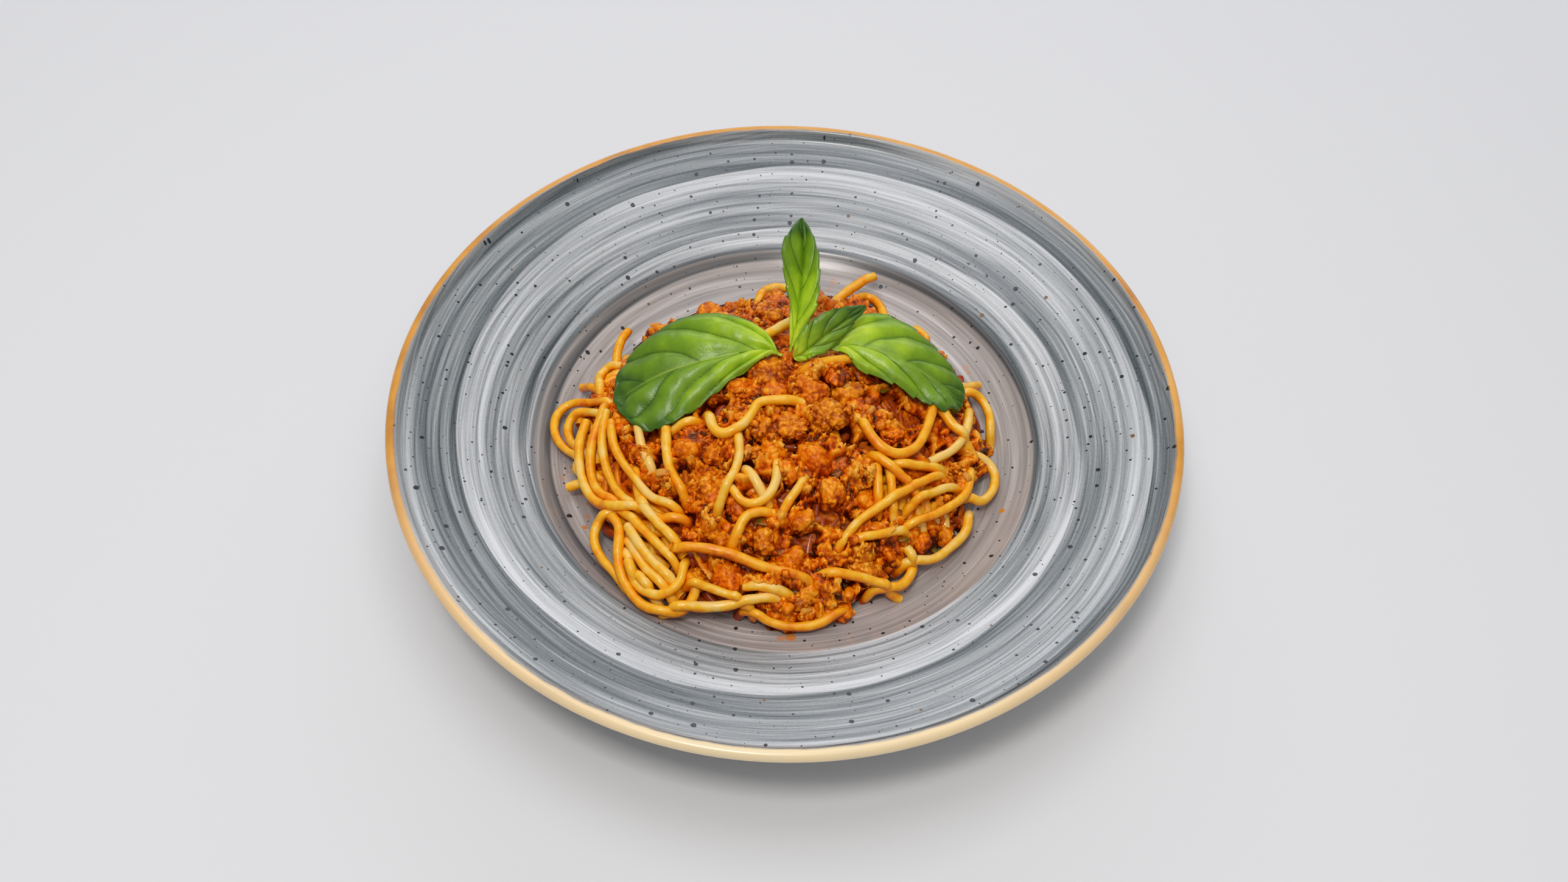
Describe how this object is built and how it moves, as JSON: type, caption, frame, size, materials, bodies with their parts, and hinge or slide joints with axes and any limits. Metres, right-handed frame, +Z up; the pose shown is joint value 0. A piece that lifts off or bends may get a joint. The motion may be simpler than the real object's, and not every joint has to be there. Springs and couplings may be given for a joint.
{
  "type": "plate of spaghetti bolognese",
  "caption": "Wide-rimmed deep stoneware plate holding a heap of spaghetti under meat sauce, topped with a sprig of basil leaves.",
  "frame": {"origin": "middle of the plate's foot, on the table", "axes": "+Z up; -Y towards the guest; +X to the guest's right"},
  "size_m": [0.27, 0.27, 0.0707],
  "materials": {
    "stoneware_glaze": "brushed grey-blue glaze in a slow spiral, dark specks, tan lip",
    "cooked_pasta": "moist golden pasta tinted by the sauce",
    "tomato_meat_sauce": "moist orange-brown minced meat in tomato",
    "basil": "satin fresh green leaf with veins"
  },
  "bodies": {
    "root": {"deep_plate": "stoneware_glaze", "spaghetti_heap": "cooked_pasta", "meat_sauce": "tomato_meat_sauce", "basil_leaf_left": "basil", "basil_leaf_upright": "basil", "basil_leaf_middle": "basil", "basil_leaf_right": "basil"}
  },
  "joints": []
}
